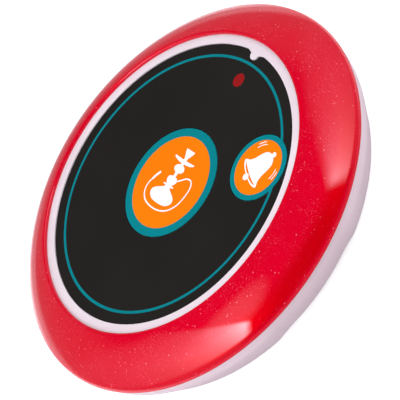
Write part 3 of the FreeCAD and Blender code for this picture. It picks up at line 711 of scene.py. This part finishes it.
for key in ("large", "small"):
    switch = key + "_switch_"
    case = softened(switch + "case", switch + "body", case_edge)
    settled(case, "housing", "black_nylon", black_nylon)
    plate = softened(switch + "plate", switch + "cover", sheet_edge)
    settled(plate, "housing", "contact_steel", nickel_plate)
    pins = softened(switch + "pins", switch + "legs", sheet_edge)
    settled(pins, "housing", "tinned_steel", tinned_wire)
    snap = softened(switch + "snap", switch + "dome", snap_edge)
    settled(snap, "housing", "spring_steel", bright_spring)
    low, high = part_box(switch + "dome")
    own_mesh(snap)
    stem = softened(switch + "stem", switch + "plunger", case_edge)
    settled(stem, key + "_key", "black_nylon", black_nylon)

# ------------------------------------------------------------ status light
# A 3 mm lamp cast in tinted clear resin, with a flange at its foot and two tinned wires.
# The resin is smooth from its mould and lets a little light through.

lamp_edge = 0.06 * mm
lamp_red = (0.50, 0.010, 0.012)
lamp_shade = (0.40, 0.006, 0.008)

red_resin = moulded("red resin", lamp_red, lamp_shade, grain=0.4 * mm, depth=0.01, roughness=0.12,
                    transmission_weight=0.35, ior=1.54)
lamp = softened("light_lamp", "status_led", lamp_edge, steps=3)
settled(lamp, "housing", "led_resin", red_resin)
settled(softened("light_wires", "led_legs", sheet_edge), "housing", "tinned_steel", tinned_wire)

# ------------------------------------------------------------ circuit board
# Glass-fibre laminate cut round with one straight edge, under a glossy green mask on both faces.
# Copper tracks show through the mask; the sawn edge is bare straw-coloured laminate.

board_edge = 0.05 * mm
mask_green = (0.008, 0.095, 0.036)
mask_shade = (0.006, 0.078, 0.030)
track_green = (0.022, 0.190, 0.062)
laminate = (0.42, 0.36, 0.19)
laminate_shade = (0.36, 0.30, 0.15)
track_cell = 2.6 * mm
track_scatter = 0.7
track_share = (0.075, 0.095)
glass_weave = 0.28 * mm
upright_face = (0.6, 0.9)


def masked_board():
    """Mask over tracks on the two faces, bare laminate on every edge."""
    made, tree, surface = new_finish("masked board", coat_weight=0.6, coat_roughness=0.12)
    tone = grained(tree, surface, grain=glass_weave, depth=0.1, roughness=0.4, spread=0.05)
    mask = blended(tree, tone, mask_green, mask_shade)
    bare = blended(tree, tone, laminate, laminate_shade)
    place = put(tree, "TexCoord").outputs["Object"]
    flat = put(tree, "VectorMath", {0: place, 1: (1, 1, 0)}, operation="MULTIPLY").outputs[0]
    cells = put(tree, "TexVoronoi",
                {"Vector": flat, "Scale": 1 / track_cell, "Randomness": track_scatter},
                feature="DISTANCE_TO_EDGE")
    track = between(tree, cells.outputs["Distance"], *track_share, 1.0, 0.0)
    faced = blended(tree, track, mask, track_green)
    upright = put(tree, "SeparateXYZ", {0: put(tree, "NewGeometry").outputs["Normal"]}).outputs[2]
    level = between(tree, maths(tree, "ABSOLUTE", upright), *upright_face, 0.0, 1.0)
    tree.links.new(blended(tree, level, bare, faced), surface.inputs["Base Color"])
    return made


board = softened("board", "circuit_board", board_edge)
settled(board, "housing", "board_laminate", masked_board())

# ------------------------------------------------------------ board screws
# Four self-tapping screws of zinc-plated steel, driven up into the bosses of the upper shell.
# Their pan heads are rounded and bear on the board.

head_edge = 0.35 * mm
zinc = (0.56, 0.57, 0.58)
zinc_shade = (0.46, 0.47, 0.48)

zinc_plate = moulded("zinc plate", zinc, zinc_shade, grain=0.2 * mm, depth=0.12, roughness=0.34,
                     metallic=1.0)
pan_screws = softened("pan_screws", "board_screws", head_edge, steps=3)
settled(pan_screws, "housing", "screw_steel", zinc_plate)

# ------------------------------------------------------------ battery
# A 12 V alarm cell: a steel can in a plain dark shrink jacket that leaves both ends bare, with one
# copper-coloured band at the positive end.

can_edge = 0.15 * mm
nub_length = 1.2 * mm
jacket_dark = (0.030, 0.030, 0.034)
jacket_shade = (0.042, 0.042, 0.047)
jacket_band = (0.52, 0.25, 0.09)
can_steel = (0.66, 0.65, 0.63)
jacket_margin = 0.9 * mm
band_width = 6.5 * mm


def jacketed_can():
    """Jacket along the can, its band, and bare steel at both ends, told apart by their place."""
    made, tree, surface = new_finish("jacketed can")
    tone = grained(tree, surface, grain=0.3 * mm, depth=0.05, roughness=0.3, spread=0.05)
    dark = blended(tree, tone, jacket_dark, jacket_shade)
    low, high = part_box("battery")
    place = put(tree, "TexCoord").outputs["Object"]
    along = put(tree, "SeparateXYZ", {0: place}).outputs[0]
    shoulder = high.x - nub_length
    band = maths(tree, "GREATER_THAN", along, shoulder - jacket_margin - band_width)
    coloured = blended(tree, band, dark, jacket_band)
    from_middle = maths(tree, "ABSOLUTE", maths(tree, "SUBTRACT", along, (low.x + shoulder) / 2))
    bare = maths(tree, "GREATER_THAN", from_middle, (shoulder - low.x) / 2 - jacket_margin)
    tree.links.new(blended(tree, bare, coloured, can_steel), surface.inputs["Base Color"])
    tree.links.new(bare, surface.inputs["Metallic"])
    return made


alarm_cell = softened("alarm_cell", "battery", can_edge)
settled(alarm_cell, "housing", "battery_jacket", jacketed_can())

# ------------------------------------------------------------ battery contacts
# Two plates of nickel-plated sheet in grooves of the cradle, each with a tail soldered to the
# board, and a cone of spring wire that presses the cell onto the positive plate.


def refinished(node, made):
    """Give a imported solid, kept as it is, its finish."""
    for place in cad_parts[node].material_slots:
        place.material = made


for plate_name, node in (("minus_plate", "negative_contact"), ("plus_plate", "positive_contact")):
    plate = softened(plate_name, node, sheet_edge)
    settled(plate, "housing", "contact_steel", nickel_plate)
refinished("battery_spring", bright_spring)

# ------------------------------------------------------------ antenna
# A short coil of enamelled copper wire, lying on the board with one end soldered through it.
# It is wound open, so that its turns don't touch.

copper = (0.70, 0.27, 0.11)
copper_shade = (0.60, 0.21, 0.08)

enamelled_copper = moulded("enamelled copper", copper, copper_shade, grain=0.15 * mm, depth=0.05,
                           roughness=0.26, metallic=1.0, coat_weight=0.5, coat_roughness=0.1)
refinished("antenna", enamelled_copper)

# ------------------------------------------------------------ chips
# The encoder and the radio transistor: black epoxy over rows of tinned leads.
# They are matt from their mould and bare of markings.

epoxy_edge = 0.1 * mm
epoxy_black = (0.016, 0.016, 0.017)
epoxy_grey = (0.026, 0.026, 0.027)

black_epoxy = moulded("black epoxy", epoxy_black, epoxy_grey, grain=0.1 * mm, depth=0.2,
                      roughness=0.55)
for chip in ("encoder_chip", "rf_transistor"):
    settled(softened(chip + "_case", chip, epoxy_edge), "housing", "black_epoxy", black_epoxy)
settled(softened("chip_pins", "chip_leads", sheet_edge), "housing", "tinned_steel", tinned_wire)

# ------------------------------------------------------------ resonator
# A pressed steel can with a rounded rim, washed with gold, that sets the radio's frequency.
# It stands flat on the board, its top plain and bare of markings.

can_rim_edge = 0.2 * mm
gold_wash = (0.74, 0.62, 0.38)
gold_shade = (0.66, 0.54, 0.31)

gold_can = moulded("gold-washed can", gold_wash, gold_shade, grain=0.1 * mm, depth=0.04,
                   roughness=0.24, metallic=1.0)
frequency_can = softened("frequency_can", "saw_resonator", can_rim_edge, steps=3)
settled(frequency_can, "housing", "resonator_can", gold_can)

# ------------------------------------------------------------ loading coil
# A drum of dark ferrite, fired and left rough, with enamelled copper wire between its cheeks.
# The winding is one turned body with a rounded ridge for each turn that shows.

drum_edge = 0.1 * mm
cheek = 0.5 * mm
core_r = 1.2 * mm
winding_r = 1.75 * mm
strand = 0.12 * mm
strand_steps = 4
winding_segments = 48
ferrite_dark = (0.045, 0.043, 0.042)
ferrite_grey = (0.060, 0.058, 0.056)

dark_ferrite = moulded("dark ferrite", ferrite_dark, ferrite_grey, grain=0.12 * mm, depth=0.25,
                       roughness=0.6)
settled(softened("coil_drum", "loading_coil", drum_edge), "housing", "ferrite", dark_ferrite)
drum_low, drum_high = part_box("loading_coil")
winding_line = [(core_r, drum_high.z - cheek), (core_r, drum_low.z + cheek)]
strand_count = round((drum_high.z - drum_low.z - 2 * cheek) / strand)
for i in range(strand_count):
    strand_z = drum_low.z + cheek + (i + 0.5) * strand
    winding_line += swept((winding_r - strand / 2, strand_z), strand / 2, -90, 90, strand_steps)
winding_mesh = bmesh.new()
lathed(winding_mesh, winding_line, winding_segments)
drum_centre = (drum_low + drum_high) / 2
bmesh.ops.translate(winding_mesh, verts=winding_mesh.verts, vec=(drum_centre.x, drum_centre.y, 0))
bmesh.ops.recalc_face_normals(winding_mesh, faces=winding_mesh.faces)
settled(meshed("coil_winding", winding_mesh), "housing", "copper_wire", enamelled_copper)

# ------------------------------------------------------------ small parts on the board
# Ceramic resistors and capacitors, soldered to their pads: each is a fired body between two
# silvered ends, which stand a little proud of it.

part_edge = 0.06 * mm
cap_length = 0.35 * mm
ceramic = (0.34, 0.25, 0.16)
ceramic_shade = (0.28, 0.20, 0.12)


def chip_pieces(mesh):
    """Lowest and highest corner of each separate part in a mesh."""
    done = set()
    for first in mesh.verts:
        if first in done:
            continue
        part, front = set(), {first}
        while front:
            part |= front
            links = {link for vert in front for link in vert.link_edges}
            front = {vert for link in links for vert in link.verts} - part
        done |= part
        ranges = list(zip(*(vert.co for vert in part)))
        yield Vector(map(min, ranges)), Vector(map(max, ranges))


def brick(mesh, low, high, material_index):
    """Box between two corners."""
    made = bmesh.ops.create_cube(mesh, size=1)["verts"]
    bmesh.ops.scale(mesh, verts=made, vec=high - low)
    bmesh.ops.translate(mesh, verts=made, vec=(low + high) / 2)
    for face in {face for vert in made for face in vert.link_faces}:
        face.material_index = material_index


packed_parts = bmesh.new()
packed_parts.from_mesh(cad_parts["chip_parts"].data)
bmesh.ops.remove_doubles(packed_parts, verts=packed_parts.verts, dist=weld_distance)
ended_parts = bmesh.new()
for low, high in chip_pieces(packed_parts):
    inner_low = Vector((low.x + cap_length, low.y + part_edge, low.z + part_edge))
    inner_high = Vector((high.x - cap_length, high.y - part_edge, high.z - part_edge))
    brick(ended_parts, inner_low, inner_high, 0)
    brick(ended_parts, low, Vector((low.x + cap_length, high.y, high.z)), 1)
    brick(ended_parts, Vector((high.x - cap_length, low.y, low.z)), high, 1)
packed_parts.free()
bmesh.ops.bevel(ended_parts, geom=ended_parts.edges[:], offset=part_edge / 2, segments=2,
                affect="EDGES")
fired_ceramic = moulded("fired ceramic", ceramic, ceramic_shade, grain=0.1 * mm, depth=0.15,
                        roughness=0.5)
small_parts = meshed("ceramic_parts", ended_parts)
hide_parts("chip_parts")
settled(small_parts, "housing", "chip_ceramic", fired_ceramic, tinned_wire)

# ------------------------------------------------------------ studio
# A pale table between two upright light walls, each brightest at the end towards the camera and
# fading away from it.  The room gives even light from above; in mirrors it is dim, but for a grey
# far wall and a soft haze overhead.

# The camera: its angles in radians, its lens in millimetres, and where it aims beside the face.
view_rise = 0.683
view_roll = 0.984
view_distance = 589 * mm
view_lens = 265.2
view_sensor = 36.0
aim_across = 5.85 * mm
aim_down = 3.58 * mm

# The table in metres, and how it dims in mirrors: at its middle, to the front and far away.
floor_size = 3.0
floor_drop = 0.02 * mm
floor_colour = (0.78, 0.775, 0.78)
floor_glow = 0.62
floor_middle = 0.4
floor_side = 0.8
floor_sides = (0.02, 0.09)
floor_dimmest = 0.012
floor_front = 0.17
floor_turn = (-0.06, 0.10)
# Close round the object the table is painted brighter in mirrors.
floor_near = 2.5
floor_edge = (0.062, 0.095)
floor_far = 0.5
floor_fade = (0.05, 0.35)

# The light walls: heights and lengths as shares of their distance, bearings in degrees.
wall_distance = 0.45
wall_bearing = 92
wall_far_bearing = 135
wall_top = 1.8
wall_fall = 1.9
wall_near_fall = 2.35
wall_plain = 0.3
wall_rose = (1.0, 0.96, 1.08, 1.0)
wall_head = 0.1
wall_end = 0.05
beam_slant = 0.68
beam_edge = 0.1
beam_rise = 0.5
beam_low = 0.6
end_fade = 0.25
far_fade = 0.35
walls = {"right": {"side": 1, "near_bearing": 49, "level": 1.15, "beam_foot": 0.29,
                   "beam_head": 1.25},
         "left": {"side": -1, "near_bearing": 41, "level": 1.35, "beam_foot": 0.38,
                  "beam_head": 1.6}}

# The room: its light on matt surfaces low and high up, and how bright it is in mirrors.
ceiling_low = 0.86
ceiling_high = 0.68
ceiling_rise = (0.3, 0.9)
ceiling_mirrored = 0.01
back_mirrored = 0.26
back_rise = (0.5, 0.7)
walls_end = (-0.05, 0.32)
haze_heading = (0.235, -0.407, 0.883)
haze_reach = (0.951, 1.0)
haze_strength = 1.1


def looking(tree):
    """Shares of the camera's own rays and of those that come by way of a mirror or glass."""
    path = put(tree, "LightPath").outputs
    mirror = maths(tree, "MAXIMUM", path["Is Glossy Ray"], path["Is Transmission Ray"])
    return path["Is Camera Ray"], mirror


def table_top():
    """Pale paint, plain white but for the object's shade; in mirrors it dims to the front."""
    made = bpy.data.materials.new("table top")
    made.use_nodes = True
    tree = made.node_tree
    tree.nodes.remove(tree.nodes["Principled BSDF"])
    seen, mirror = looking(tree)
    place = put(tree, "TexCoord").outputs["Object"]
    front, aside = put(tree, "SeparateXYZ", {0: place}).outputs[:2]
    distance = put(tree, "VectorMath", {0: place}, operation="LENGTH").outputs["Value"]
    off_middle = maths(tree, "ABSOLUTE", maths(tree, "SUBTRACT", aside, floor_dimmest))
    across = between(tree, off_middle, *floor_sides, floor_middle, floor_side)
    along = between(tree, front, *floor_turn, 1.0, floor_front)
    far = between(tree, distance, *floor_fade, 1.0, floor_far)
    near = between(tree, distance, *floor_edge, floor_near, 1.0)
    dimmed = across
    for share in (along, far, near):
        dimmed = maths(tree, "MULTIPLY", dimmed, share)
    grey = put(tree, "CombineXYZ", {0: dimmed, 1: dimmed, 2: dimmed}).outputs[0]
    paint = put(tree, "BsdfDiffuse", {"Color": blended(tree, mirror, floor_colour, grey)})
    light = put(tree, "Emission", {"Strength": maths(tree, "MULTIPLY", seen, floor_glow)})
    both = put(tree, "AddShader", {0: paint.outputs[0], 1: light.outputs[0]})
    tree.links.new(both.outputs[0], tree.nodes["Material Output"].inputs["Surface"])
    return made


def studio_room():
    """Even light for matt surfaces, a dim room in mirrors, and plain white behind it all."""
    world = bpy.data.worlds.new("studio")
    world.use_nodes = True
    room = world.node_tree
    heading = put(room, "TexCoord").outputs["Generated"]
    toward, aside, rise = put(room, "SeparateXYZ", {0: heading}).outputs
    ambient = between(room, rise, *ceiling_rise, ceiling_low, ceiling_high)
    back = between(room, rise, *back_rise, back_mirrored, ceiling_mirrored)
    outward = maths(room, "ADD", toward, maths(room, "ABSOLUTE", aside))
    past_walls = between(room, outward, *walls_end, 1.0, 0.0)
    toward_haze = put(room, "VectorMath", {0: heading, 1: haze_heading}, operation="DOT_PRODUCT")
    haze = between(room, toward_haze.outputs["Value"], *haze_reach, 0.0, haze_strength)
    reflected = maths(room, "MULTIPLY_ADD", back, past_walls, haze)
    seen, mirror = looking(room)
    unseen = maths(room, "SUBTRACT", 1.0, mirror)
    diffuse = maths(room, "MULTIPLY", unseen, ambient)
    strength = maths(room, "MULTIPLY_ADD", mirror, reflected, diffuse)
    strength = maths(room, "MAXIMUM", strength, seen)
    room.links.new(strength, room.nodes["Background"].inputs["Strength"])
    room.nodes["Background"].inputs["Color"].default_value = (1, 1, 1, 1)
    return world


def light_wall(name, side, near_bearing, level, beam_foot, beam_head):
    """Upright area lamp beside the object, brightest above a slanting line, near the camera."""
    near = math.tan(math.radians(wall_bearing - near_bearing))
    far = math.tan(math.radians(wall_far_bearing - wall_bearing))
    lamp = bpy.data.lights.new(name, "AREA")
    lamp.shape = "RECTANGLE"
    lamp.size = (near + far) * wall_distance
    lamp.size_y = wall_top * wall_distance
    lamp.energy = math.pi * lamp.size * lamp.size_y
    lamp.use_nodes = True
    tree = lamp.node_tree
    place = put(tree, "SeparateXYZ", {0: put(tree, "NewGeometry").outputs["Parametric"]}).outputs
    start, end = (near, -far) if side > 0 else (-far, near)
    along = maths(tree, "MULTIPLY_ADD", place[0], end - start, start)
    up = maths(tree, "MULTIPLY", place[1], wall_top)
    edge = maths(tree, "MULTIPLY_ADD", along, beam_slant, beam_foot)
    above = maths(tree, "SUBTRACT", up, edge)
    nearer = maths(tree, "MAXIMUM", along, 0.0)
    farther = maths(tree, "MULTIPLY", maths(tree, "MINIMUM", along, 0.0), wall_fall)
    fall = maths(tree, "EXPONENT", maths(tree, "MULTIPLY_ADD", nearer, wall_near_fall, farther))
    beam = maths(tree, "MULTIPLY", fall, between(tree, above, -beam_edge, beam_edge, 0.0, level))
    beam = maths(tree, "MULTIPLY", beam, between(tree, above, 0.0, beam_rise, beam_low, 1.0))
    lit = maths(tree, "MAXIMUM", beam, wall_plain)
    for share in (between(tree, up, beam_head, wall_top, 1.0, wall_head),
                  between(tree, along, near - end_fade, near, 1.0, wall_end),
                  between(tree, along, -far, far_fade - far, 0.0, 1.0)):
        lit = maths(tree, "MULTIPLY", lit, share)
    tree.nodes["Emission"].inputs["Color"].default_value = wall_rose
    tree.links.new(lit, tree.nodes["Emission"].inputs["Strength"])
    light = bpy.data.objects.new(name, lamp)
    bpy.context.scene.collection.objects.link(light)
    turn = math.radians(side * wall_bearing)
    away = Vector((math.cos(turn), math.sin(turn), 0))
    toward = Vector((math.sin(turn), -math.cos(turn), 0)) * side
    middle = away + toward * (near - far) / 2 + Vector((0, 0, wall_top / 2))
    light.location = middle * wall_distance
    light.rotation_euler = away.to_track_quat("Z", "Y").to_euler()
    light.visible_camera = False


floor_mesh = bmesh.new()
bmesh.ops.create_grid(floor_mesh, x_segments=1, y_segments=1, size=floor_size / 2)
bmesh.ops.translate(floor_mesh, verts=floor_mesh.verts, vec=(0, 0, -floor_drop))
floor = meshed("table_top", floor_mesh)
floor.data.materials.append(table_top())
bpy.context.scene.world = studio_room()
for wall_side, setting in walls.items():
    light_wall("light_wall_" + wall_side, **setting)

camera_data = bpy.data.cameras.new("camera")
camera_data.lens = view_lens
camera_data.sensor_width = view_sensor
camera = bpy.data.objects.new("camera", camera_data)
bpy.context.scene.collection.objects.link(camera)
bpy.context.scene.camera = camera
level_right = Vector((0, 1, 0))
level_up = Vector((-math.sin(view_rise), 0, math.cos(view_rise)))
picture_right = level_right * math.cos(view_roll) - level_up * math.sin(view_roll)
picture_up = level_right * math.sin(view_roll) + level_up * math.cos(view_roll)
toward_camera = Vector((math.cos(view_rise), 0, math.sin(view_rise)))
face_centre = Vector((0, 0, film_top_z))
eye = face_centre + toward_camera * view_distance
aim = face_centre + picture_right * aim_across - picture_up * aim_down
back = (eye - aim).normalized()
side = (picture_right - back * picture_right.dot(back)).normalized()
axes = Matrix((side, back.cross(side), back)).transposed()
camera.matrix_world = Matrix.Translation(eye) @ axes.to_4x4()

bpy.context.scene.view_settings.view_transform = "Standard"
